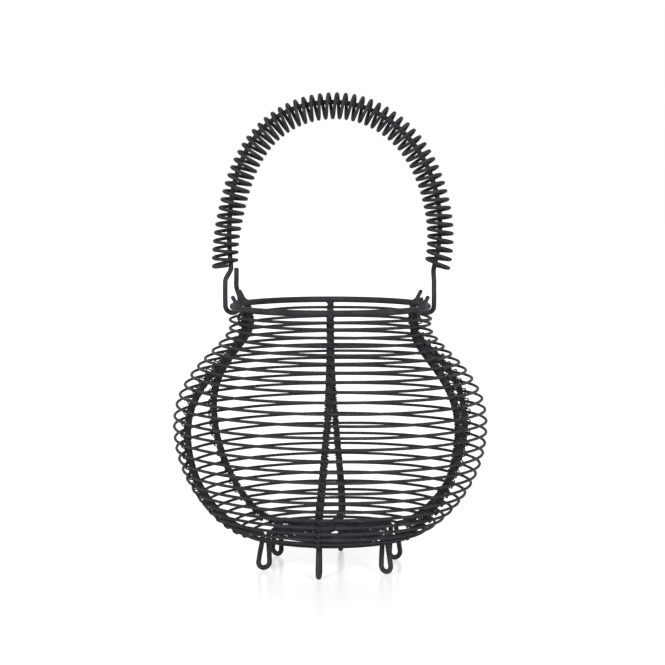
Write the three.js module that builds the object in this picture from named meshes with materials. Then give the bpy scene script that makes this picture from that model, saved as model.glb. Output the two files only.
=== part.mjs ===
// Wire egg basket: six ribs with looped feet, a thin weaver wire wound round them in one spiral,
// a hoop for a rim, and a bail handle that swings in two long eyes and carries a loose coiled grip.
// Millimetres, +Z up. The origin is on the floor under the middle, and the front faces -Y.
import * as THREE from 'three';

// Wire diameters and the gap kept between wires that touch
const RIM_WIRE = 4;
const RIB_WIRE = 3.2;
const WEAVER_WIRE = 1.9;
const BAIL_WIRE = 3.1;
const COIL_WIRE = 2.2;
const PEG_WIRE = 2.6;
const SEAT = 0.3;

// Side outline, to the middle of the rib wire, with the reach of each curve's handles
const RIM_RADIUS = 62;
const RIM_HEIGHT = 167;
const NECK_RADIUS = 60.6;
const NECK_BELOW_RIM = 11.5;
const NECK_PULL = 4;
const BELLY_RADIUS = 96.7;
const BELLY_HEIGHT = 92;
const SHOULDER_TOP_PULL = 16;
const SHOULDER_LOW_PULL = 35;
const BOWL_SIDE_PULL = 40;
const BOWL_FLOOR_PULL = 17;
const BASE_HEIGHT = 24.2;

// Ribs, which lean round the basket as they go down, and their teardrop feet.
// The front and back ribs lean late, nearer the feet, and the four side ribs early.
const RIB_NAMES = ['front', 'front_right', 'back_right', 'back', 'back_left', 'front_left'];
const RIB_TWIST = THREE.MathUtils.degToRad(9);
const LATE_TWIST_POWER = 2.4;
const EARLY_TWIST_POWER = 1.8;
const HUB_RADIUS = 3.6;
const FOOT_RADIUS = 44;
const FOOT_LOOP_RADIUS = 3.7;
const FOOT_SPLAY = 1.1;
const FOOT_LEG_GAP = 0.5;
const FOOT_BEND = 2.4;

// Weaver wire: whole turns on the wall, wound in lengths that meet at ribs, and a flat spiral below
const WALL_TURNS = 26;
const LENGTH_TURNS = 2;
const WEAVER_FIRST_RIB = 5;
const WEAVER_BELOW_RIM = 2.5;
const WEAVER_ABOVE_FOOT = 1.5;
const EYE_DIP = 2;
const EYE_DIP_WIDTH = 0.5;
const BASE_TURNS = 6;
const BASE_OUTER_MARGIN = 1.7;
const BASE_INNER_RADIUS = 6;

// Pegs that stand on the rim beside the tops of the four side ribs, at angles from the front
const PEG_LENGTH = 7.3;
const PEG_LEAN = THREE.MathUtils.degToRad(31);
const FRONT_PEG_ANGLE = THREE.MathUtils.degToRad(66);
const BACK_PEG_ANGLE = THREE.MathUtils.degToRad(117.5);

// Bail, with heights from the middle of the rim wire. The left eye is wide, and its long cut end
// leans out above the rim, then stands beside the arch. The right eye is slim, with a short cut end.
const EYE_INNER_GAP = 0.7;
const LEFT_OUTER_GAP = 1.2;
const RIGHT_OUTER_GAP = 0.4;
const EYE_DROP = 4.2;
const EYE_LEG_RISE = 15.5;
const LEFT_END_RISE = 24.5;
const LEFT_END_LEAN = 1.9;
const LEFT_LEAN_LOW = 6;
const LEFT_LEAN_HIGH = 12;
const RIGHT_END_RISE = 5.5;
const ARCH_START = 25;
const ARCH_RISE = 129;
const LEFT_ARCH_REACH = 7;
const LEFT_ARCH_PULL = 71;
const RIGHT_ARCH_REACH = 15.3;
const RIGHT_ARCH_PULL = 56;
const ARCH_TOP_PULL = 44;
const ARCH_LEAN = 1.5;

// Coiled grip: how far its middle line is outside the bail wire, at even steps from left to right.
// It stands outside the wire at its ends, and elsewhere it hangs under it, lowest on the left.
const COIL_OFFSETS = [3.7, -2.1, -4, -2.3, -1.6, -1.4, 1.8];
const COIL_OUTER = 17.2;
const COIL_TURNS = 55;
const COIL_FROM_ARCH_START = 1;
const COIL_TAIL_TURN = THREE.MathUtils.degToRad(33);
const COIL_TAIL_BEND = 2;
const COIL_OWN_TURN = 0.75;

// How finely the round wires are stepped
const RIB_COUNT = RIB_NAMES.length;
const BAY_ANGLE = 2 * Math.PI / RIB_COUNT;
const RIB_SIDES = 6;
const WEAVER_SIDES = 5;
const COIL_SIDES = 5;
const STOUT_SIDES = 8;
const RIB_WALL_STEPS = 38;
const FOOT_LOOP_STEPS = 5;
const SMALL_BEND_STEPS = 3;
const BAY_STEPS = 4;
const BASE_BAY_STEPS = 3;
const RIM_STEPS = 48;
const EYE_STEPS = 8;
const ARCH_HALF_STEPS = 20;
const COIL_STEPS = 8;

// Black satin paint, a fresh material for every wire
function blackPaint() {
  return new THREE.MeshStandardMaterial({ color: 0x2d2d32, roughness: 0.45, metalness: 0.35 });
}

// A wire's path: one straight step from each point to the next, mitred where steps meet
class WirePath extends THREE.Curve {
  constructor(points) {
    super();
    this.points = points;
  }

  getUtoTmapping(u) {
    return u;
  }

  getPoint(t, target = new THREE.Vector3()) {
    const last = this.points.length - 1;
    const index = Math.min(Math.floor(t * last), last - 1);
    return target.lerpVectors(this.points[index], this.points[index + 1], t * last - index);
  }

  getTangent(t, target = new THREE.Vector3()) {
    const last = this.points.length - 1;
    const index = Math.round(t * last);
    const here = this.points[index];
    const arriving = here.clone().sub(this.points[Math.max(index - 1, 0)]).normalize();
    const leaving = this.points[Math.min(index + 1, last)].clone().sub(here).normalize();
    return target.addVectors(arriving, leaving).normalize();
  }
}

// A round wire of many flats, with a flat and not a corner on its first side
function wire(name, points, diameter, sides) {
  const corners = [];
  for (let side = 0; side < sides; side += 1) {
    const angle = (side + 0.5) * 2 * Math.PI / sides;
    corners.push(new THREE.Vector2(Math.cos(angle), Math.sin(angle)).multiplyScalar(diameter / 2));
  }
  const geometry = new THREE.ExtrudeGeometry(new THREE.Shape(corners), {
    steps: points.length - 1,
    extrudePath: new WirePath(points),
    bevelEnabled: false,
  });
  const mesh = new THREE.Mesh(geometry, blackPaint());
  mesh.name = name;
  return mesh;
}

// A point at a radius and a height, at an angle round the basket from the front towards +X
function around(radius, angle, height) {
  return new THREE.Vector3(radius * Math.sin(angle), -radius * Math.cos(angle), height);
}

// Points of a round bend in a flat outline, its angles in degrees and its ends included
function bend(centreX, centreY, radius, fromDegrees, toDegrees, steps) {
  const points = [];
  for (let step = 0; step <= steps; step += 1) {
    const angle = THREE.MathUtils.degToRad(THREE.MathUtils.lerp(fromDegrees, toDegrees, step / steps));
    points.push(new THREE.Vector2(centreX + radius * Math.cos(angle), centreY + radius * Math.sin(angle)));
  }
  return points;
}

// The wall's outline from the rim down to the feet, as radius and height
const footLegOffset = (RIB_WIRE + FOOT_LEG_GAP) / 2;
const bowlEndRadius = FOOT_RADIUS + footLegOffset + FOOT_BEND;
const ribTop = RIM_HEIGHT - RIM_WIRE / 2 - SEAT;
const neckHeight = RIM_HEIGHT - NECK_BELOW_RIM;

function buildWallOutline() {
  const rimEnd = new THREE.Vector2(RIM_RADIUS, ribTop);
  const neck = new THREE.Vector2(NECK_RADIUS, neckHeight);
  const belly = new THREE.Vector2(BELLY_RADIUS, BELLY_HEIGHT);
  const bowlEnd = new THREE.Vector2(bowlEndRadius, BASE_HEIGHT);
  const outline = new THREE.CurvePath();
  outline.add(new THREE.CubicBezierCurve(
    rimEnd, new THREE.Vector2(RIM_RADIUS, ribTop - NECK_PULL),
    new THREE.Vector2(NECK_RADIUS, neckHeight + NECK_PULL), neck));
  outline.add(new THREE.CubicBezierCurve(
    neck, new THREE.Vector2(NECK_RADIUS, neckHeight - SHOULDER_TOP_PULL),
    new THREE.Vector2(BELLY_RADIUS, BELLY_HEIGHT + SHOULDER_LOW_PULL), belly));
  outline.add(new THREE.CubicBezierCurve(
    belly, new THREE.Vector2(BELLY_RADIUS, BELLY_HEIGHT - BOWL_SIDE_PULL),
    new THREE.Vector2(bowlEndRadius + BOWL_FLOOR_PULL, BASE_HEIGHT), bowlEnd));
  return outline;
}

const wallOutline = buildWallOutline();
const wallLength = wallOutline.getLength();

// The lean of a rib at a share of the way down the wall
function ribLean(rib, share) {
  const frontOrBack = rib % (RIB_COUNT / 2) === 0;
  return RIB_TWIST * (frontOrBack ? share ** LATE_TWIST_POWER : 1 - (1 - share) ** EARLY_TWIST_POWER);
}

// The angle round the basket after a number of bays, whole at a rib and in between elsewhere
function ribAngle(bay, share) {
  const rib = Math.floor(bay);
  return bay * BAY_ANGLE - THREE.MathUtils.lerp(ribLean(rib, share), ribLean(rib + 1, share), bay - rib);
}

// One rib: a spoke under the basket, the teardrop foot, then the wall up to the rim.
// The foot's loop has an odd number of steps, so that the middle one lies flat on the floor.
function ribPoints(rib) {
  const loopRadius = FOOT_RADIUS + FOOT_SPLAY;
  const halfStep = Math.PI / FOOT_LOOP_STEPS / 2;
  const flatReach = RIB_WIRE / 2 * Math.cos(Math.PI / RIB_SIDES);
  const loopHeight = (FOOT_LOOP_RADIUS + flatReach) * Math.cos(halfStep);
  const bendHeight = BASE_HEIGHT - FOOT_BEND;
  const innerBend = FOOT_RADIUS - footLegOffset - FOOT_BEND;
  const footOutline = [
    new THREE.Vector2(HUB_RADIUS, BASE_HEIGHT),
    ...bend(innerBend, bendHeight, FOOT_BEND, 90, 0, SMALL_BEND_STEPS),
    ...bend(loopRadius, loopHeight, FOOT_LOOP_RADIUS, 180, 360, FOOT_LOOP_STEPS),
    ...bend(bowlEndRadius, bendHeight, FOOT_BEND, 180, 90, SMALL_BEND_STEPS),
  ];
  const points = footOutline.map((place) => around(place.x, ribAngle(rib, 1), place.y));
  for (let step = RIB_WALL_STEPS - 1; step >= 0; step -= 1) {
    const share = step / RIB_WALL_STEPS;
    const place = wallOutline.getPoint(share);
    points.push(around(place.x, ribAngle(rib, share), place.y));
  }
  return points;
}

// The weaver runs outside the ribs: its place after a number of bays, counted from the front rib.
// Its first turn starts level and drops half a pitch, and dips under the bail's right eye.
const weaverOffset = RIB_WIRE / 2 + WEAVER_WIRE / 2 + SEAT;
const weaverPitch = (wallLength - WEAVER_BELOW_RIM - WEAVER_ABOVE_FOOT) / (WALL_TURNS - 0.5);
const rightEyeBay = WEAVER_FIRST_RIB + RIB_COUNT / 4 + 1;

function weaverPoint(bay) {
  const turns = (bay - WEAVER_FIRST_RIB) / RIB_COUNT;
  const pitches = turns < 1 ? turns * turns / 2 : turns - 0.5;
  const dip = EYE_DIP * Math.exp(-(((bay - rightEyeBay) / EYE_DIP_WIDTH) ** 2));
  const share = (WEAVER_BELOW_RIM + pitches * weaverPitch + dip) / wallLength;
  const place = wallOutline.getPoint(share);
  const along = wallOutline.getTangent(share);
  const radius = place.x - along.y * weaverOffset;
  const height = place.y + along.x * weaverOffset;
  return around(radius, ribAngle(bay, share), height);
}

// One length of weaver wire of whole turns, its ends drawn back to leave the gap at a joint
function weaverLength(firstTurn, lastTurn) {
  const points = [];
  const firstBay = WEAVER_FIRST_RIB + firstTurn * RIB_COUNT;
  const steps = (lastTurn - firstTurn) * RIB_COUNT * BAY_STEPS;
  for (let step = 0; step <= steps; step += 1) {
    points.push(weaverPoint(firstBay + step / BAY_STEPS));
  }
  drawBack(points[0], points[1]);
  drawBack(points[steps], points[steps - 1]);
  return wire(`weaver_turns_${firstTurn + 1}_${lastTurn}`, points, WEAVER_WIRE, WEAVER_SIDES);
}

function drawBack(end, inner) {
  end.add(inner.clone().sub(end).setLength(SEAT / 2));
}

// The flat spiral under the spokes, from just inside the feet to the hub
function baseSpiral() {
  const outerRadius = FOOT_RADIUS - footLegOffset - FOOT_BEND - BASE_OUTER_MARGIN;
  const steps = BASE_TURNS * RIB_COUNT * BASE_BAY_STEPS;
  const points = [];
  for (let step = 0; step <= steps; step += 1) {
    const radius = THREE.MathUtils.lerp(outerRadius, BASE_INNER_RADIUS, step / steps);
    points.push(around(radius, ribAngle(step / BASE_BAY_STEPS, 1), BASE_HEIGHT - weaverOffset));
  }
  return wire('weaver_base', points, WEAVER_WIRE, WEAVER_SIDES);
}

// The rim: one closed hoop
function rimHoop() {
  const geometry = new THREE.TorusGeometry(RIM_RADIUS, RIM_WIRE / 2, STOUT_SIDES, RIM_STEPS);
  const mesh = new THREE.Mesh(geometry, blackPaint());
  mesh.name = 'rim_hoop';
  mesh.position.z = RIM_HEIGHT;
  return mesh;
}

// A peg standing on the rim and leaning outwards, at an angle from the front towards +X
function rimPeg(name, angle) {
  const geometry = new THREE.CylinderGeometry(PEG_WIRE / 2, PEG_WIRE / 2, PEG_LENGTH, STOUT_SIDES);
  geometry.rotateX(Math.PI / 2);
  geometry.translate(0, 0, RIM_WIRE / 2 + SEAT + PEG_LENGTH / 2);
  const mesh = new THREE.Mesh(geometry, blackPaint());
  mesh.name = name;
  mesh.position.set(0, -RIM_RADIUS, RIM_HEIGHT);
  mesh.rotation.x = PEG_LEAN;
  const turned = new THREE.Group();
  turned.rotation.z = angle;
  turned.add(mesh);
  return turned;
}

// The bail's arch from left to right, as distance from the middle and height above the rim.
// On the left it stands just clear of the eye's long end, on the right straight above the outer leg.
const wiresApart = (RIM_WIRE + BAIL_WIRE) / 2;
const eyeInner = RIM_RADIUS - wiresApart - EYE_INNER_GAP;
const leftOuter = RIM_RADIUS + wiresApart + LEFT_OUTER_GAP;
const rightOuter = RIM_RADIUS + wiresApart + RIGHT_OUTER_GAP;
const leftArchEnd = eyeInner + LEFT_END_LEAN + BAIL_WIRE + SEAT;

function buildArch() {
  const half = (side, end, reach, pull) => [
    new THREE.Vector2(side * end, ARCH_START),
    new THREE.Vector2(side * (end + reach), ARCH_START + pull),
    new THREE.Vector2(side * ARCH_TOP_PULL + ARCH_LEAN, ARCH_RISE),
    new THREE.Vector2(ARCH_LEAN, ARCH_RISE),
  ];
  const arch = new THREE.CurvePath();
  arch.add(new THREE.CubicBezierCurve(...half(-1, leftArchEnd, LEFT_ARCH_REACH, LEFT_ARCH_PULL)));
  arch.add(new THREE.CubicBezierCurve(...half(1, rightOuter, RIGHT_ARCH_REACH, RIGHT_ARCH_PULL).reverse()));
  return arch;
}

const arch = buildArch();
const archLength = arch.getLength();

// An eye as it looks on the right: bend under the rim, outer leg, and shoulder in to the arch
function eyeBend(outer, archEnd, reach, pull) {
  const radius = (outer - eyeInner) / 2;
  const swing = (ARCH_START - EYE_LEG_RISE) / 3;
  const intoArch = new THREE.Vector2(reach, pull).setLength(swing);
  const shoulder = new THREE.CubicBezierCurve(
    new THREE.Vector2(outer, EYE_LEG_RISE),
    new THREE.Vector2(outer, EYE_LEG_RISE + swing),
    new THREE.Vector2(archEnd, ARCH_START).sub(intoArch),
    new THREE.Vector2(archEnd, ARCH_START));
  return [
    ...bend(eyeInner + radius, radius - EYE_DROP, radius, 180, 360, EYE_STEPS),
    ...shoulder.getPoints(EYE_STEPS).slice(0, -1),
  ];
}

// The bail wire: left cut end and inner leg, left eye, arch, right eye, and the right cut end
function bailPoints() {
  const leftEye = [
    new THREE.Vector2(eyeInner + LEFT_END_LEAN, LEFT_END_RISE),
    new THREE.Vector2(eyeInner + LEFT_END_LEAN, LEFT_LEAN_HIGH),
    new THREE.Vector2(eyeInner, LEFT_LEAN_LOW),
    ...eyeBend(leftOuter, leftArchEnd, LEFT_ARCH_REACH, LEFT_ARCH_PULL),
  ];
  const rightEye = [
    new THREE.Vector2(eyeInner, RIGHT_END_RISE),
    ...eyeBend(rightOuter, rightOuter, RIGHT_ARCH_REACH, RIGHT_ARCH_PULL),
  ];
  const outline = [
    ...leftEye.map((place) => new THREE.Vector2(-place.x, place.y)),
    ...arch.getPoints(ARCH_HALF_STEPS),
    ...rightEye.reverse(),
  ];
  return outline.map((place) => new THREE.Vector3(place.x, 0, place.y));
}

// The grip's middle line and its outward direction at a share of the arch, with its offset there
const offsetPlaces = COIL_OFFSETS.map((offset, step) => new THREE.Vector2(step, offset));
const coilOffsets = new THREE.SplineCurve(offsetPlaces);

function gripPlace(share) {
  const along = arch.getTangent(share);
  const outward = new THREE.Vector3(-along.y, 0, along.x);
  const offset = coilOffsets.getPoint(share).y;
  const onWire = arch.getPoint(share);
  const centre = new THREE.Vector3(onWire.x, 0, onWire.y).addScaledVector(outward, offset);
  return { centre, outward, offset };
}

// The coiled grip: a left-hand helix whose two tails turn in and end at the bail wire
function coilPoints() {
  const radius = (COIL_OUTER - COIL_WIRE) / 2;
  const backwards = new THREE.Vector3(0, 1, 0);
  const firstShare = COIL_FROM_ARCH_START / archLength;
  const firstAngle = -COIL_TAIL_TURN;
  const lastAngle = COIL_TURNS * 2 * Math.PI + COIL_TAIL_TURN;

  const frameAt = (angle) => {
    const share = (angle - firstAngle) / (lastAngle - firstAngle);
    const { centre, outward, offset } = gripPlace(THREE.MathUtils.lerp(firstShare, 1 - firstShare, share));
    const radial = outward.clone().multiplyScalar(Math.cos(angle));
    radial.addScaledVector(backwards, Math.sin(angle));
    const onward = outward.clone().multiplyScalar(-Math.sin(angle));
    onward.addScaledVector(backwards, Math.cos(angle));
    return { centre, radial, onward, offset };
  };

  const tail = (angle, direction) => {
    const { centre, radial, onward, offset } = frameAt(angle);
    const tip = BAIL_WIRE / 2 + SEAT - offset * Math.cos(COIL_TAIL_TURN);
    const reach = [tip, tip + COIL_WIRE];
    const points = reach.map((length) => new THREE.Vector2(length, COIL_TAIL_BEND));
    points.push(...bend(radius - COIL_TAIL_BEND, 0, COIL_TAIL_BEND, 90, 0, SMALL_BEND_STEPS).slice(0, -1));
    return points.map((place) => centre.clone()
      .addScaledVector(radial, place.x)
      .addScaledVector(onward, direction * place.y));
  };

  const steps = Math.round((lastAngle - firstAngle) / (2 * Math.PI) * COIL_STEPS);
  const turns = [];
  for (let step = 0; step <= steps; step += 1) {
    const { centre, radial } = frameAt(THREE.MathUtils.lerp(firstAngle, lastAngle, step / steps));
    turns.push(centre.addScaledVector(radial, radius));
  }
  printLeastGap(turns);
  return [...tail(firstAngle, -1), ...turns, ...tail(lastAngle, 1).reverse()];
}

// The least gap of the coil to itself, between points too far apart to be on the same turn
function printLeastGap(points) {
  let least = Infinity;
  for (let first = 0; first < points.length; first += 1) {
    for (let second = first + COIL_OWN_TURN * COIL_STEPS; second < points.length; second += 1) {
      least = Math.min(least, points[first].distanceTo(points[second]));
    }
  }
  console.log(`grip coil: least gap to itself ${(least - COIL_WIRE).toFixed(2)} mm`);
}

// The basket stands still, and the handle hangs from the rim
const basket = new THREE.Group();
basket.add(rimHoop());
for (let rib = 0; rib < RIB_COUNT; rib += 1) {
  basket.add(wire(`rib_${RIB_NAMES[rib]}`, ribPoints(rib), RIB_WIRE, RIB_SIDES));
}
for (let firstTurn = 0; firstTurn < WALL_TURNS; firstTurn += LENGTH_TURNS) {
  basket.add(weaverLength(firstTurn, Math.min(firstTurn + LENGTH_TURNS, WALL_TURNS)));
}
basket.add(baseSpiral());
basket.add(rimPeg('rim_peg_front_right', FRONT_PEG_ANGLE));
basket.add(rimPeg('rim_peg_back_right', BACK_PEG_ANGLE));
basket.add(rimPeg('rim_peg_back_left', -BACK_PEG_ANGLE));
basket.add(rimPeg('rim_peg_front_left', -FRONT_PEG_ANGLE));

const handle = new THREE.Group();
handle.position.z = RIM_HEIGHT;
handle.add(wire('bail_wire', bailPoints(), BAIL_WIRE, STOUT_SIDES));
handle.add(wire('grip_coil', coilPoints(), COIL_WIRE, COIL_SIDES));

const eggBasket = new THREE.Group();
eggBasket.add(basket, handle);

export default eggBasket;
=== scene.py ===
import bisect
import math
import random
import bmesh
import bpy
from mathutils import Matrix, Vector
from mathutils.geometry import interpolate_bezier


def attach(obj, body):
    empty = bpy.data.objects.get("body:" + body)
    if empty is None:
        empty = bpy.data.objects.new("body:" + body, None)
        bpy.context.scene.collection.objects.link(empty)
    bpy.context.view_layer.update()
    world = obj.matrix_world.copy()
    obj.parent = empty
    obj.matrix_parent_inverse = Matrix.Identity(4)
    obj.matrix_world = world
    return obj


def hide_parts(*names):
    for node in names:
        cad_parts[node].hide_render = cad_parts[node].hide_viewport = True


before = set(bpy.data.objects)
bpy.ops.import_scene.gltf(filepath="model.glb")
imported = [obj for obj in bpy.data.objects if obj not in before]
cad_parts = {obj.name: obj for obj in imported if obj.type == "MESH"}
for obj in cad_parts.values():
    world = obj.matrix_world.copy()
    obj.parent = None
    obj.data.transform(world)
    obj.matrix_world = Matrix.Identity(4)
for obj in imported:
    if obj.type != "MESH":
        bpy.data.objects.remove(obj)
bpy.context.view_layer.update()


# Ribs: six lengths of soft iron wire, each bent in one piece from a spoke across the floor through
# a teardrop foot and up the wall. Their tops are welded under the rim, and all of it is powder
# coated after the welding. The front and back ribs lean late, near the feet, the side ribs early.
MM = 0.001  # the basket's sizes are in millimetres, and this makes them metres
RIB_NAMES = ["front", "front_right", "back_right", "back", "back_left", "front_left"]
RIB_COUNT = len(RIB_NAMES)
RIB_WIRE = 3.2
RIB_SIDES = 14
RIB_TWIST = math.radians(9)
LATE_TWIST_POWER = 2.4
EARLY_TWIST_POWER = 1.8
RIM_RADIUS = 62
RIM_HEIGHT = 167
RIB_TOP_BELOW_RIM = 2.3
RIB_END_BELOW_RIM = 1
NECK_RADIUS = 60.6
NECK_BELOW_RIM = 11.5
NECK_PULL = 4
BELLY_RADIUS = 96.7
BELLY_HEIGHT = 92
SHOULDER_TOP_PULL = 16
SHOULDER_LOW_PULL = 35
BOWL_SIDE_PULL = 40
BOWL_FLOOR_PULL = 17
WALL_STEPS = 56
BASE_HEIGHT = 24.2
HUB_RADIUS = 3.6
FOOT_RADIUS = 44
FOOT_LOOP_RADIUS = 3.7
FOOT_LOOP_STEPS = 10
FOOT_SPLAY = 1.1
FOOT_LEG_GAP = 0.5
FOOT_BEND = 2.4
BEND_STEPS = 4
CURVE_POINTS = 160

foot_leg_offset = (RIB_WIRE + FOOT_LEG_GAP) / 2
inner_bend = FOOT_RADIUS - foot_leg_offset - FOOT_BEND
bowl_end_radius = FOOT_RADIUS + foot_leg_offset + FOOT_BEND


def measured(points):
    """A line of points with the length run at each of them."""
    lengths = [0.0]
    for here, onward in zip(points, points[1:]):
        lengths.append(lengths[-1] + (onward - here).length)
    return points, lengths


def place_on(line, length):
    """The point and the direction at a length along a measured line."""
    points, lengths = line
    index = min(max(bisect.bisect_right(lengths, length) - 1, 0), len(points) - 2)
    part = (length - lengths[index]) / (lengths[index + 1] - lengths[index])
    direction = (points[index + 1] - points[index]).normalized()
    return points[index].lerp(points[index + 1], part), direction


def bezier_line(*corners):
    """Points of one curve between two ends with two handles."""
    return interpolate_bezier(*[Vector((x, y, 0)) for x, y in corners], CURVE_POINTS)


def bend(centre_x, centre_y, radius, first_degrees, last_degrees, steps):
    """Points of a round bend in a flat outline."""
    points = []
    for step in range(steps + 1):
        angle = math.radians(first_degrees + (last_degrees - first_degrees) * step / steps)
        x = centre_x + radius * math.cos(angle)
        y = centre_y + radius * math.sin(angle)
        points.append(Vector((x, y, 0)))
    return points


def around(radius, angle, height):
    """A point in metres at an angle round the basket from the front towards +X."""
    return Vector((radius * math.sin(angle), -radius * math.cos(angle), height)) * MM


neck_height = RIM_HEIGHT - NECK_BELOW_RIM
rib_top = RIM_HEIGHT - RIB_TOP_BELOW_RIM
neck = bezier_line(
    (RIM_RADIUS, rib_top), (RIM_RADIUS, rib_top - NECK_PULL),
    (NECK_RADIUS, neck_height + NECK_PULL), (NECK_RADIUS, neck_height))
shoulder = bezier_line(
    (NECK_RADIUS, neck_height), (NECK_RADIUS, neck_height - SHOULDER_TOP_PULL),
    (BELLY_RADIUS, BELLY_HEIGHT + SHOULDER_LOW_PULL), (BELLY_RADIUS, BELLY_HEIGHT))
bowl = bezier_line(
    (BELLY_RADIUS, BELLY_HEIGHT), (BELLY_RADIUS, BELLY_HEIGHT - BOWL_SIDE_PULL),
    (bowl_end_radius + BOWL_FLOOR_PULL, BASE_HEIGHT), (bowl_end_radius, BASE_HEIGHT))
wall = measured(neck + shoulder[1:] + bowl[1:])
wall_length = wall[1][-1]


def rib_lean(rib, share):
    """How far round a rib has leaned at a share of the way down the wall."""
    if rib % (RIB_COUNT // 2) == 0:
        return RIB_TWIST * share ** LATE_TWIST_POWER
    return RIB_TWIST * (1 - (1 - share) ** EARLY_TWIST_POWER)


def rib_angle(bay, share):
    """The angle round the basket after a number of bays, whole at a rib."""
    rib = math.floor(bay)
    lean = rib_lean(rib, share) + (rib_lean(rib + 1, share) - rib_lean(rib, share)) * (bay - rib)
    return bay * math.tau / RIB_COUNT - lean


def wall_point(bay, share, offset=0.0):
    """A point of the wall, set off outwards from the middle of the rib wire."""
    place, down = place_on(wall, share * wall_length)
    return around(place.x - down.y * offset, rib_angle(bay, share), place.y + down.x * offset)


KNOT_STEPS = 3
CUT_EASE = 0.22
CUT_THICKNESS = 0.66


def wire(name, points, diameter, sides, finish, cut_ends=False):
    """A round wire through points, with its cut ends eased where they show."""
    curve = bpy.data.curves.new(name, "CURVE")
    curve.dimensions = "3D"
    curve.bevel_depth = diameter / 2 * MM
    # A round bevel has four sides, and two more for each step of its resolution.
    curve.bevel_resolution = sides // 2 - 2
    curve.resolution_u = KNOT_STEPS
    curve.use_fill_caps = True
    thickness = [1.0] * len(points)
    if cut_ends:
        ease = CUT_EASE * diameter * MM
        first = points[0] + (points[1] - points[0]).normalized() * ease
        last = points[-1] + (points[-2] - points[-1]).normalized() * ease
        points = [points[0], first, *points[1:-1], last, points[-1]]
        thickness = [CUT_THICKNESS, *[1.0] * (len(points) - 2), CUT_THICKNESS]
    spline = curve.splines.new("BEZIER")
    spline.bezier_points.add(len(points) - 1)
    for knot, point, thick in zip(spline.bezier_points, points, thickness):
        knot.co = point
        knot.radius = thick
        knot.handle_left_type = "AUTO"
        knot.handle_right_type = "AUTO"
    curve.materials.append(finish)
    piece = bpy.data.objects.new(name, curve)
    bpy.context.scene.collection.objects.link(piece)
    return piece


COAT_DARK = "#2b2b2f"
COAT_PALE = "#3f3f43"
COAT_SMOOTH_ROUGHNESS = 0.4
COAT_DULL_ROUGHNESS = 0.56
COAT_SPECULAR = 0.05
PATCH_START = 0.3
PATCH_END = 0.7
PEEL_STRENGTH = 0.9
PEEL_DEPTH = 0.2


def srgb(code):
    """A hex colour as linear red, green, blue and full alpha."""
    values = [int(code[place:place + 2], 16) / 255 for place in (1, 3, 5)]
    linear = [value / 12.92 if value < 0.04045 else ((value + 0.055) / 1.055) ** 2.4 for value in values]
    return [*linear, 1.0]


def add_node(tree, kind, settings, inputs):
    """A node with its settings, and with each input a value or a link."""
    made = tree.nodes.new(kind)
    for name, value in settings.items():
        setattr(made, name, value)
    for name, value in inputs.items():
        if isinstance(value, bpy.types.NodeSocket):
            tree.links.new(value, made.inputs[name])
        else:
            made.inputs[name].default_value = value
    return made


def powder_coat(name, peel_mm, patch_mm):
    """Black powder coat baked on iron: nearly black and almost matt, with faint broad highlights that
    break up on a fine orange peel, and paler, duller cloudy patches where the coat lies thicker."""
    finish = bpy.data.materials.new(name)
    finish.use_nodes = True
    tree = finish.node_tree
    shader = tree.nodes["Principled BSDF"]
    place = add_node(tree, "ShaderNodeTexCoord", {}, {})
    peel = add_node(tree, "ShaderNodeTexNoise", {"noise_dimensions": "3D"}, {
        "Vector": place.outputs["Object"], "Scale": 1 / (peel_mm * MM),
        "Detail": 2.0, "Roughness": 0.5})
    patch = add_node(tree, "ShaderNodeTexNoise", {"noise_dimensions": "3D"}, {
        "Vector": place.outputs["Object"], "Scale": 1 / (patch_mm * MM),
        "Detail": 3.0, "Roughness": 0.55})
    tint = add_node(tree, "ShaderNodeValToRGB", {}, {"Fac": patch.outputs["Fac"]})
    dark_stop, pale_stop = tint.color_ramp.elements
    dark_stop.position = PATCH_START
    dark_stop.color = srgb(COAT_DARK)
    pale_stop.position = PATCH_END
    pale_stop.color = srgb(COAT_PALE)
    dullness = add_node(tree, "ShaderNodeMapRange", {}, {
        "Value": patch.outputs["Fac"], "From Min": PATCH_START, "From Max": PATCH_END,
        "To Min": COAT_SMOOTH_ROUGHNESS, "To Max": COAT_DULL_ROUGHNESS})
    bump = add_node(tree, "ShaderNodeBump", {}, {
        "Height": peel.outputs["Fac"], "Strength": PEEL_STRENGTH, "Distance": PEEL_DEPTH * MM})
    tree.links.new(tint.outputs["Color"], shader.inputs["Base Color"])
    tree.links.new(dullness.outputs["Result"], shader.inputs["Roughness"])
    tree.links.new(bump.outputs["Normal"], shader.inputs["Normal"])
    shader.inputs["Metallic"].default_value = 0.0
    shader.inputs["Specular IOR Level"].default_value = COAT_SPECULAR
    return finish


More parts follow.
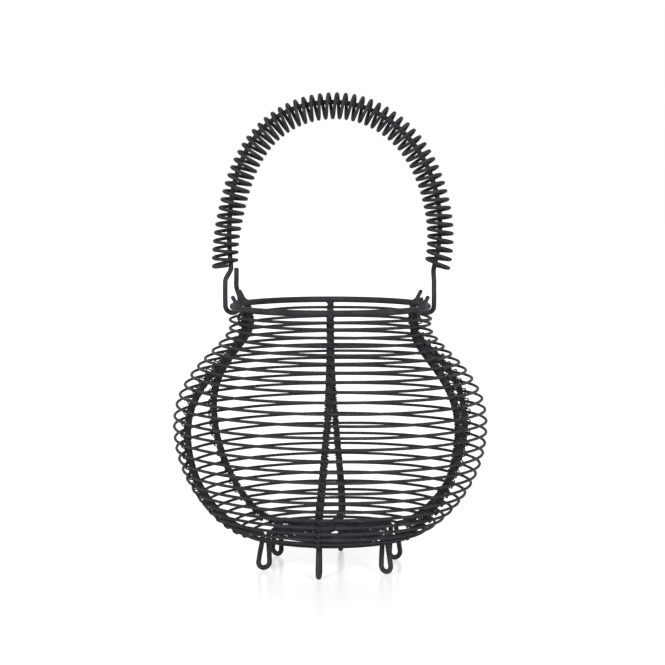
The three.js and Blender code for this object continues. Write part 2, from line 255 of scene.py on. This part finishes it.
stout_coat = powder_coat("powder_coat_on_stout_wire", peel_mm=1.3, patch_mm=9)
loop_height = FOOT_LOOP_RADIUS + RIB_WIRE / 2
foot_outline = [
    Vector((HUB_RADIUS, BASE_HEIGHT, 0)),
    Vector(((HUB_RADIUS + inner_bend) / 2, BASE_HEIGHT, 0)),
    *bend(inner_bend, BASE_HEIGHT - FOOT_BEND, FOOT_BEND, 90, 0, BEND_STEPS),
    *bend(FOOT_RADIUS + FOOT_SPLAY, loop_height, FOOT_LOOP_RADIUS, 180, 360, FOOT_LOOP_STEPS),
    *bend(bowl_end_radius, BASE_HEIGHT - FOOT_BEND, FOOT_BEND, 180, 90, BEND_STEPS),
]
for rib, rib_name in enumerate(RIB_NAMES):
    foot_angle = rib_angle(rib, 1.0)
    rib_line = [around(place.x, foot_angle, place.y) for place in foot_outline]
    rib_line += [wall_point(rib, step / WALL_STEPS) for step in range(WALL_STEPS - 1, -1, -1)]
    rib_line.append(around(RIM_RADIUS, rib_angle(rib, 0.0), RIM_HEIGHT - RIB_END_BELOW_RIM))
    piece = wire(f"rib_{rib_name}_bent_wire", rib_line, RIB_WIRE, RIB_SIDES, stout_coat)
    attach(piece, "basket")
    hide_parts(f"rib_{rib_name}")


# Rim: one hoop of the thickest wire, its ends butted and welded. Each rib is welded to its
# underside, with a fillet that laps up over the outside of the rim, rounded over by the coat.
RIM_WIRE = 4
RIM_SIDES = 16
RIM_STEPS = 144
MERGE_GAP = 0.001
FILLET_HALF = (2.5, 1.9, 1.3)
FILLET_BELOW = 2.2
LAP_HALF = (2.2, 1.8, 2.8)
LAP_OUT = 1.1
LAP_BELOW = 1.5
WELD_SEGMENTS = 24
WELD_RINGS = 16


def mesh_piece(name, shape, finish):
    """A bmesh made a piece at the origin, smooth shaded, its faces pointing outwards."""
    bmesh.ops.remove_doubles(shape, verts=shape.verts, dist=MERGE_GAP * MM)
    bmesh.ops.recalc_face_normals(shape, faces=shape.faces)
    for face in shape.faces:
        face.smooth = True
    mesh = bpy.data.meshes.new(name)
    shape.to_mesh(mesh)
    shape.free()
    mesh.materials.append(finish)
    piece = bpy.data.objects.new(name, mesh)
    bpy.context.scene.collection.objects.link(piece)
    return piece


hoop = bmesh.new()
rim_front = Matrix.Translation((0, -RIM_RADIUS * MM, RIM_HEIGHT * MM))
section = bmesh.ops.create_circle(
    hoop, cap_ends=False, segments=RIM_SIDES, radius=RIM_WIRE / 2 * MM,
    matrix=rim_front @ Matrix.Rotation(math.pi / 2, 4, "Y"))
bmesh.ops.spin(hoop, geom=section["verts"] + hoop.edges[:], cent=(0, 0, 0), axis=(0, 0, 1),
               angle=math.tau, steps=RIM_STEPS, use_merge=True)
piece = mesh_piece("rim_hoop_wire", hoop, stout_coat)
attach(piece, "basket")
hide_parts("rim_hoop")


def add_weld_drop(shape, rib, out, below, half_sizes):
    """A drop of weld at a rib's top, some way out from the middle of the rim wire and below it."""
    angle = rib_angle(rib, 0.0)
    at_rim = Matrix.Translation(around(RIM_RADIUS + out, angle, RIM_HEIGHT - below))
    stretched = Matrix.Diagonal((*[size * MM for size in half_sizes], 1))
    place = at_rim @ Matrix.Rotation(angle, 4, "Z") @ stretched
    bmesh.ops.create_uvsphere(
        shape, u_segments=WELD_SEGMENTS, v_segments=WELD_RINGS, radius=1, matrix=place)


welds = bmesh.new()
for rib in range(RIB_COUNT):
    add_weld_drop(welds, rib, 0, FILLET_BELOW, FILLET_HALF)
    add_weld_drop(welds, rib, LAP_OUT, LAP_BELOW, LAP_HALF)
piece = mesh_piece("rim_weld_fillets", welds, stout_coat)
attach(piece, "basket")


# Weaver: thinner iron wire wound down the wall in one spiral outside the ribs, in lengths of two turns
# that meet at a rib. Nothing but the ties at the ribs holds it, so its turns sag and rise a little. The
# first turn dips under the right eye of the handle, and the first few turns rise at the back.
WEAVER_WIRE = 1.9
WEAVER_SIDES = 8
WALL_TURNS = 26
LENGTH_TURNS = 2
FIRST_BAY = 5
WEAVER_BELOW_RIM = 2.5
WEAVER_ABOVE_FOOT = 1.5
EYE_DIP = 2
EYE_DIP_WIDTH = 0.5
RIGHT_EYE_BAY = 7.5
BACK_BAY = 9
BACK_RISE = 1.3
BACK_RISE_WIDTH = 0.9
BACK_RISE_TURNS = 4
BACK_RISE_FADE = 2
WEAVER_OUT = 2.85
LARGEST_SAG = 0.35
BAY_STEPS = 10
HAND_SEED = 26

thin_coat = powder_coat("powder_coat_on_thin_wire", peel_mm=0.9, patch_mm=6)
hand = random.Random(HAND_SEED)


def pitches_down(turns):
    """How many pitches the weaver is down: the first turn starts level and falls half of one."""
    return turns * turns / 2 if turns < 1 else turns - 0.5


pitch = (wall_length - WEAVER_BELOW_RIM - WEAVER_ABOVE_FOOT) / pitches_down(WALL_TURNS)


def weaver_share(bay):
    """How far down the wall the weaver is after a number of bays."""
    turns = (bay - FIRST_BAY) / RIB_COUNT
    dip = EYE_DIP * math.exp(-(((bay - RIGHT_EYE_BAY) / EYE_DIP_WIDTH) ** 2))
    back_turn = round((bay - BACK_BAY) / RIB_COUNT)
    from_back = bay - BACK_BAY - back_turn * RIB_COUNT
    rise = BACK_RISE * min(max((BACK_RISE_TURNS - back_turn) / BACK_RISE_FADE, 0.0), 1.0)
    rise *= math.exp(-((from_back / BACK_RISE_WIDTH) ** 4))
    return (WEAVER_BELOW_RIM + pitches_down(turns) * pitch + dip - rise) / wall_length


def bay_strand(bay):
    """The strand from one rib as far as the next, a little high or low in the middle."""
    points = []
    sag = hand.uniform(-LARGEST_SAG, LARGEST_SAG) / wall_length
    for step in range(BAY_STEPS):
        part = step / BAY_STEPS
        share = weaver_share(bay + part) + sag * math.sin(math.pi * part)
        points.append(wall_point(bay + part, share, WEAVER_OUT))
    return points


for first_turn in range(0, WALL_TURNS, LENGTH_TURNS):
    last_turn = first_turn + LENGTH_TURNS
    last_bay = FIRST_BAY + last_turn * RIB_COUNT
    weaver_line = []
    for bay in range(FIRST_BAY + first_turn * RIB_COUNT, last_bay):
        weaver_line += bay_strand(bay)
    weaver_line.append(wall_point(last_bay, weaver_share(last_bay), WEAVER_OUT))
    node = f"weaver_turns_{first_turn + 1}_{last_turn}"
    piece = wire(f"{node}_wound_wire", weaver_line, WEAVER_WIRE, WEAVER_SIDES, thin_coat)
    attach(piece, "basket")
    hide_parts(node)


# Floor: the same thin wire as the weaver, wound in a flat spiral under the spokes of the ribs, from the
# feet in to the hub. It is tied to each spoke as the weaver is to the ribs.
BASE_TURNS = 6
BASE_OUTER_MARGIN = 1.7
BASE_INNER_RADIUS = 6
BASE_BAY_STEPS = 6

base_outer = inner_bend - BASE_OUTER_MARGIN


def base_radius(bay):
    """The radius of the floor spiral after a number of bays."""
    return base_outer + (BASE_INNER_RADIUS - base_outer) * bay / (BASE_TURNS * RIB_COUNT)


spiral_line = []
for step in range(BASE_TURNS * RIB_COUNT * BASE_BAY_STEPS + 1):
    bay = step / BASE_BAY_STEPS
    spiral_line.append(around(base_radius(bay), rib_angle(bay, 1.0), BASE_HEIGHT - WEAVER_OUT))
piece = wire("weaver_base_flat_spiral", spiral_line, WEAVER_WIRE, WEAVER_SIDES, thin_coat)
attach(piece, "basket")
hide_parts("weaver_base")


# Ties: fine iron wire, one length wound down each rib and one along its spoke. At every turn of the
# weaver it goes slantwise over the strand and binds it to the rib, and some of these loops stand off
# and leave a small eyelet.
TIE_WIRE = 0.9
TIE_SIDES = 6
TIE_PITCH = 1.75
TIE_UNEVENNESS = 0.2
TIE_SLANT = 1.5
TIE_STEPS = 10
HALF_LOOP_GAP = 0.6
LARGEST_EYELET = 0.6
TIGHT_TO_OPEN_LOOPS = 0.8
LARGEST_SLACK = 0.3
TIE_BELOW_RIB_TOP = 0.3
TIE_BEFORE_SPIRAL = 1.5

tie_round_rib = (RIB_WIRE + TIE_WIRE) / 2
tie_over_strand = WEAVER_OUT + (WEAVER_WIRE + TIE_WIRE) / 2


def tie_passes(start, crossings):
    """Where a tie goes over the outside of its wire and how far out: bare turns, and two at each strand."""
    passes = [(start, tie_round_rib)]
    for crossing in crossings:
        before = passes[-1][0]
        bare_length = crossing - HALF_LOOP_GAP - before
        bare_turns = max(round(bare_length / TIE_PITCH) - 1, 0)
        for turn in range(bare_turns):
            next_turn = turn + hand.uniform(1 - TIE_UNEVENNESS, 1 + TIE_UNEVENNESS)
            length = before + bare_length * next_turn / (bare_turns + 1)
            passes.append((length, tie_round_rib + hand.uniform(0.0, LARGEST_SLACK)))
        eyelet = LARGEST_EYELET * max(hand.uniform(-TIGHT_TO_OPEN_LOOPS, 1.0), 0.0)
        passes.append((crossing - HALF_LOOP_GAP, tie_over_strand + eyelet))
        passes.append((crossing + HALF_LOOP_GAP, tie_over_strand))
    return passes


def sideways_of(angle, sideways):
    """A step in metres along the rim's direction at an angle round the basket."""
    return Vector((math.cos(angle), math.sin(angle), 0)) * sideways * MM


def beside_rib(rib, length, outwards, sideways):
    """A place beside a rib: a length down the wall, outwards of it, and towards the next rib."""
    share = max(length, 0.0) / wall_length
    return wall_point(rib, share, outwards) + sideways_of(rib_angle(rib, share), sideways)


def beside_spoke(rib, length, downwards, sideways):
    """A place beside a rib's spoke: a length in from the spiral's start, below it, and to its side."""
    angle = rib_angle(rib, 1.0)
    return around(base_outer - length, angle, BASE_HEIGHT - downwards) + sideways_of(angle, sideways)


def tie_line(rib, passes, place_beside):
    """The points of a tie that winds once round the rib or its spoke from each pass to the next."""
    points = []
    for step in range((len(passes) - 1) * TIE_STEPS + 1):
        turn = step / TIE_STEPS
        before = min(int(turn), len(passes) - 2)
        length = passes[before][0] + (passes[before + 1][0] - passes[before][0]) * (turn - before)
        angle = math.tau * turn
        lift = max(math.cos(angle), 0.0) * (passes[round(turn)][1] - tie_round_rib)
        outwards = tie_round_rib * math.cos(angle) + lift
        sideways = tie_round_rib * math.sin(angle)
        points.append(place_beside(rib, length + TIE_SLANT * math.sin(angle), outwards, sideways))
    return points


for rib, rib_name in enumerate(RIB_NAMES):
    first_bay = rib if rib >= FIRST_BAY else rib + RIB_COUNT
    strands = [weaver_share(first_bay + turn * RIB_COUNT) * wall_length for turn in range(WALL_TURNS)]
    rib_tie = tie_line(rib, tie_passes(TIE_BELOW_RIB_TOP, strands), beside_rib)
    turns_below = [base_outer - base_radius(rib + turn * RIB_COUNT) for turn in range(BASE_TURNS)]
    spoke_tie = tie_line(rib, tie_passes(-TIE_BEFORE_SPIRAL, turns_below), beside_spoke)
    for kind, tie in (("rib", rib_tie), ("spoke", spoke_tie)):
        piece = wire(f"{kind}_{rib_name}_tie_wire", tie, TIE_WIRE, TIE_SIDES, thin_coat)
        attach(piece, "basket")


# Pegs: four short stubs of wire that stand on the rim beside the side ribs and lean outwards.
# Each is welded at its foot and rounded at its tip. They stop the handle when it swings down.
PEG_WIRE = 2.6
PEG_SIDES = 18
PEG_LENGTH = 7.3
PEG_LEAN = math.radians(31)
PEG_ABOVE_RIM = 0.3
PEG_SUNK = 0.8
# The weld widens the foot by the first of each pair, at a height above the top of the rim. The tip is
# narrower by the first of each pair, at a depth below its end.
PEG_WELD = [(0.9, -0.4), (0.405, 0.25), (0.108, 0.8), (0, 1.6)]
PEG_TIP = [(0, 0.8), (0.1, 0.4), (0.35, 0.144), (0.7, 0)]
FRONT_PEG_ANGLE = math.radians(66)
BACK_PEG_ANGLE = math.radians(117.5)

peg_half = PEG_WIRE / 2
peg_foot = RIM_WIRE / 2
peg_end = peg_foot + PEG_ABOVE_RIM + PEG_LENGTH
peg_outline = [(0, peg_foot - PEG_SUNK)]
peg_outline += [(peg_half + wider, peg_foot + height) for wider, height in PEG_WELD]
peg_outline += [(peg_half - narrower, peg_end - depth) for narrower, depth in PEG_TIP]
peg_outline.append((0, peg_end))
peg_angles = {"front_right": FRONT_PEG_ANGLE, "back_right": BACK_PEG_ANGLE,
              "back_left": -BACK_PEG_ANGLE, "front_left": -FRONT_PEG_ANGLE}
for peg_name, angle in peg_angles.items():
    peg = bmesh.new()
    corners = [peg.verts.new((radius * MM, 0, height * MM)) for radius, height in peg_outline]
    edges = [peg.edges.new(pair) for pair in zip(corners, corners[1:])]
    bmesh.ops.spin(peg, geom=corners + edges, cent=(0, 0, 0), axis=(0, 0, 1),
                   angle=math.tau, steps=PEG_SIDES, use_merge=True)
    place = Matrix.Rotation(angle, 4, "Z") @ rim_front @ Matrix.Rotation(PEG_LEAN, 4, "X")
    bmesh.ops.transform(peg, matrix=place, verts=peg.verts)
    node = f"rim_peg_{peg_name}"
    piece = mesh_piece(f"{node}_stub", peg, stout_coat)
    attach(piece, "basket")
    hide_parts(node)


# Bail: one length of wire bent to an arch, with an open eye round the rim at each end. The left
# eye is wide and its cut end stands up beside the arch; the right eye is slim, with a short cut end.
# It isn't fixed, and swings on the rim.
BAIL_WIRE = 3.1
BAIL_SIDES = 14
SEAT = 0.3
EYE_INNER_GAP = 0.7
LEFT_OUTER_GAP = 1.2
RIGHT_OUTER_GAP = 0.4
EYE_DROP = 4.2
EYE_STEPS = 12
EYE_LEG_RISE = 15.5
EYE_SHOULDER_POINTS = 9
LEFT_END_RISE = 24.5
LEFT_END_LEAN = 1.9
LEFT_LEAN_LOW = 6
LEFT_LEAN_HIGH = 12
RIGHT_END_RISE = 5.5
ARCH_START = 25
ARCH_RISE = 129
LEFT_ARCH_REACH = 7
LEFT_ARCH_PULL = 71
RIGHT_ARCH_REACH = 15.3
RIGHT_ARCH_PULL = 56
ARCH_TOP_PULL = 44
ARCH_LEAN = 1.5
ARCH_STEPS = 48

wires_apart = (RIM_WIRE + BAIL_WIRE) / 2
eye_inner = RIM_RADIUS - wires_apart - EYE_INNER_GAP
left_outer = RIM_RADIUS + wires_apart + LEFT_OUTER_GAP
right_outer = RIM_RADIUS + wires_apart + RIGHT_OUTER_GAP
left_arch_end = eye_inner + LEFT_END_LEAN + BAIL_WIRE + SEAT


def arch_half(side, end, reach, pull):
    """The corners of one half of the arch, from its end to its crown."""
    return [(side * end, ARCH_START), (side * (end + reach), ARCH_START + pull),
            (side * ARCH_TOP_PULL + ARCH_LEAN, ARCH_RISE), (ARCH_LEAN, ARCH_RISE)]


def eye_bend(outer, arch_end, reach, pull):
    """An eye as it looks on the right: bend under the rim, outer leg, and shoulder in to the arch."""
    radius = (outer - eye_inner) / 2
    swing = (ARCH_START - EYE_LEG_RISE) / 3
    into_arch = Vector((reach, pull, 0)).normalized() * swing
    eye_shoulder = interpolate_bezier(
        Vector((outer, EYE_LEG_RISE, 0)), Vector((outer, EYE_LEG_RISE + swing, 0)),
        Vector((arch_end, ARCH_START, 0)) - into_arch, Vector((arch_end, ARCH_START, 0)),
        EYE_SHOULDER_POINTS)
    under_rim = bend(eye_inner + radius, radius - EYE_DROP, radius, 180, 360, EYE_STEPS)
    return under_rim + eye_shoulder[:-1]


left_half = arch_half(-1, left_arch_end, LEFT_ARCH_REACH, LEFT_ARCH_PULL)
right_half = arch_half(1, right_outer, RIGHT_ARCH_REACH, RIGHT_ARCH_PULL)
arch = measured(bezier_line(*left_half) + bezier_line(*reversed(right_half))[1:])
arch_length = arch[1][-1]
left_leg = [(LEFT_END_LEAN, LEFT_END_RISE), (LEFT_END_LEAN, (LEFT_END_RISE + LEFT_LEAN_HIGH) / 2),
            (LEFT_END_LEAN, LEFT_LEAN_HIGH), (0, LEFT_LEAN_LOW), (0, LEFT_LEAN_LOW / 2)]
left_eye = [Vector((eye_inner + lean, rise, 0)) for lean, rise in left_leg]
left_eye += eye_bend(left_outer, left_arch_end, LEFT_ARCH_REACH, LEFT_ARCH_PULL)
right_eye = [Vector((eye_inner, RIGHT_END_RISE, 0)), Vector((eye_inner, RIGHT_END_RISE / 2, 0))]
right_eye += eye_bend(right_outer, right_outer, RIGHT_ARCH_REACH, RIGHT_ARCH_PULL)
bail_outline = [Vector((-place.x, place.y, 0)) for place in left_eye]
bail_outline += [place_on(arch, arch_length * step / ARCH_STEPS)[0] for step in range(ARCH_STEPS + 1)]
bail_outline += right_eye[::-1]
bail_line = [Vector((place.x, 0, place.y + RIM_HEIGHT)) * MM for place in bail_outline]
piece = wire("bail_bent_wire", bail_line, BAIL_WIRE, BAIL_SIDES, stout_coat, cut_ends=True)
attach(piece, "handle")
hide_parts("bail_wire")


# Grip: a loose left-hand coil of thinner wire slipped over the arch before the eyes were bent.
# It is not fixed: it stands outside the bail wire at its ends and hangs under it elsewhere, by the
# offsets of its middle at even steps from left to right. Its tails turn in to the bail wire.
COIL_OFFSETS = [3.7, -2.1, -4, -2.3, -1.6, -1.4, 1.8]
COIL_WIRE = 2.2
COIL_SIDES = 10
COIL_OUTER = 17.2
COIL_TURNS = 55
COIL_FROM_ARCH_START = 1
COIL_TAIL_TURN = math.radians(33)
COIL_TAIL_BEND = 2
COIL_TURN_STEPS = 12

grip_coat = powder_coat("powder_coat_on_coil_wire", peel_mm=1.0, patch_mm=7)
coil_radius = (COIL_OUTER - COIL_WIRE) / 2
first_angle = -COIL_TAIL_TURN
last_angle = COIL_TURNS * math.tau + COIL_TAIL_TURN
backwards = Vector((0, 1, 0))


def coil_offset(share):
    """How far the coil's middle is outside the bail wire, smoothly between the given offsets."""
    last = len(COIL_OFFSETS) - 1
    step = min(int(share * last), last - 1)
    part = share * last - step
    nearby = [min(max(step + shift, 0), last) for shift in (-1, 0, 1, 2)]
    before, here, there, after = [COIL_OFFSETS[index] for index in nearby]
    here_slope = (there - before) / 2
    there_slope = (after - here) / 2
    return (here + here_slope * part + (3 * (there - here) - 2 * here_slope - there_slope) * part ** 2
            + (2 * (here - there) + here_slope + there_slope) * part ** 3)


def coil_frame(angle):
    """The coil's middle, its reach, its way onward and its offset at an angle of the winding."""
    share = (angle - first_angle) / (last_angle - first_angle)
    length = COIL_FROM_ARCH_START + (arch_length - 2 * COIL_FROM_ARCH_START) * share
    on_wire, along = place_on(arch, length)
    outward = Vector((-along.y, 0, along.x))
    offset = coil_offset(length / arch_length)
    middle = Vector((on_wire.x, 0, on_wire.y + RIM_HEIGHT)) + outward * offset
    reach = outward * math.cos(angle) + backwards * math.sin(angle)
    onward = backwards * math.cos(angle) - outward * math.sin(angle)
    return middle, reach, onward, offset


def coil_tail(angle, direction):
    """The tail at one end of the coil, from its tip beside the bail wire to the winding."""
    middle, reach, onward, offset = coil_frame(angle)
    tip = BAIL_WIRE / 2 + SEAT - offset * math.cos(COIL_TAIL_TURN)
    places = [Vector((tip, COIL_TAIL_BEND, 0)), Vector((tip + COIL_WIRE, COIL_TAIL_BEND, 0)),
              *bend(coil_radius - COIL_TAIL_BEND, 0, COIL_TAIL_BEND, 90, 0, BEND_STEPS)[:-1]]
    return [(middle + reach * place.x + onward * place.y * direction) * MM for place in places]


coil_steps = round((last_angle - first_angle) / math.tau * COIL_TURN_STEPS)
winding = []
for step in range(coil_steps + 1):
    middle, reach, *_ = coil_frame(first_angle + (last_angle - first_angle) * step / coil_steps)
    winding.append((middle + reach * coil_radius) * MM)
coil_line = coil_tail(first_angle, -1) + winding + coil_tail(last_angle, 1)[::-1]
piece = wire("grip_coil_wound_wire", coil_line, COIL_WIRE, COIL_SIDES, grip_coat, cut_ends=True)
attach(piece, "handle")
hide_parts("grip_coil")


# Studio: a satin white board that mirrors the feet faintly, with white air behind it, two soft lights low
# in front, on the left and the right, and a camera level with the handle that looks slightly down.
# The board and the camera's place are given in metres.
BOARD_HALF = 6.0
BOARD_COLOUR = "#f4f4f6"
BOARD_ROUGHNESS = 0.24
BOARD_GLOW = 0.53
WHITE = "#ffffff"
AIR_STRENGTH = 0.28
LIGHT_ASIDE = 0.43
LIGHT_INWARDS = 0.9
LIGHT_DOWN = 0.4
LIGHT_SPREAD = math.radians(12)
LIGHT_STRENGTH = 1.5
CAMERA_PLACE = (0, -1.241, 0.2587)
CAMERA_DOWN = math.radians(5)
SENSOR_WIDTH = 36
PHOTO_WIDTH = 665
FOCAL_PIXELS = 1955
MIDDLE_PIXEL = 330.3


def seen_plainly(tree):
    """1 for rays that show the background itself: seen, mirrored or through glass."""
    ray = add_node(tree, "ShaderNodeLightPath", {}, {})
    either = add_node(tree, "ShaderNodeMath", {"operation": "MAXIMUM"}, {
        0: ray.outputs["Is Camera Ray"], 1: ray.outputs["Is Glossy Ray"]})
    any_of_them = add_node(tree, "ShaderNodeMath", {"operation": "MAXIMUM"}, {
        0: either.outputs[0], 1: ray.outputs["Is Transmission Ray"]})
    return any_of_them.outputs[0]


# Painted board: its satin face softly mirrors what stands on it, and it glows enough to read as white,
# yet keeps the shadows. The glow shows only to the camera and in reflections.
board = bpy.data.materials.new("satin_white_board")
board.use_nodes = True
tree = board.node_tree
paper = tree.nodes["Principled BSDF"]
paper.inputs["Base Color"].default_value = srgb(BOARD_COLOUR)
paper.inputs["Roughness"].default_value = BOARD_ROUGHNESS
glow = add_node(tree, "ShaderNodeEmission", {}, {"Color": srgb(WHITE), "Strength": BOARD_GLOW})
unlit = add_node(tree, "ShaderNodeEmission", {}, {"Strength": 0.0})
only_seen = add_node(tree, "ShaderNodeMixShader", {}, {"Fac": seen_plainly(tree)})
tree.links.new(unlit.outputs["Emission"], only_seen.inputs[1])
tree.links.new(glow.outputs["Emission"], only_seen.inputs[2])
both = add_node(tree, "ShaderNodeAddShader", {}, {})
tree.links.new(paper.outputs["BSDF"], both.inputs[0])
tree.links.new(only_seen.outputs["Shader"], both.inputs[1])
tree.links.new(both.outputs["Shader"], tree.nodes["Material Output"].inputs["Surface"])
sheet = bmesh.new()
bmesh.ops.create_grid(sheet, x_segments=1, y_segments=1, size=BOARD_HALF)
floor = mesh_piece("studio_floor", sheet, board)

# White air: white where it is seen, and a weak even light on the basket from all round.
world = bpy.data.worlds.new("studio_air")
bpy.context.scene.world = world
world.use_nodes = True
tree = world.node_tree
strength = add_node(tree, "ShaderNodeMapRange", {}, {
    "Value": seen_plainly(tree), "To Min": AIR_STRENGTH, "To Max": 1.0})
air = tree.nodes["Background"]
air.inputs["Color"].default_value = srgb(WHITE)
tree.links.new(strength.outputs["Result"], air.inputs["Strength"])


def soft_light(name, aside):
    """A broad soft light from low in front that shines some way aside, evenly over all of the scene."""
    lamp = bpy.data.lights.new(name, "SUN")
    lamp.angle = LIGHT_SPREAD
    lamp.energy = LIGHT_STRENGTH
    stand = bpy.data.objects.new(name, lamp)
    towards = Vector((aside, LIGHT_INWARDS, -LIGHT_DOWN))
    stand.rotation_euler = towards.to_track_quat("-Z", "Y").to_euler()
    bpy.context.scene.collection.objects.link(stand)


soft_light("soft_light_left", LIGHT_ASIDE)
soft_light("soft_light_right", -LIGHT_ASIDE)

lens = bpy.data.cameras.new("photo_camera")
lens.sensor_width = SENSOR_WIDTH
lens.lens = FOCAL_PIXELS / PHOTO_WIDTH * SENSOR_WIDTH
lens.shift_x = (PHOTO_WIDTH / 2 - MIDDLE_PIXEL) / PHOTO_WIDTH
camera = bpy.data.objects.new("photo_camera", lens)
camera.location = CAMERA_PLACE
camera.rotation_euler = (math.pi / 2 - CAMERA_DOWN, 0, 0)
bpy.context.scene.collection.objects.link(camera)
bpy.context.scene.camera = camera
bpy.context.scene.view_settings.view_transform = "Standard"
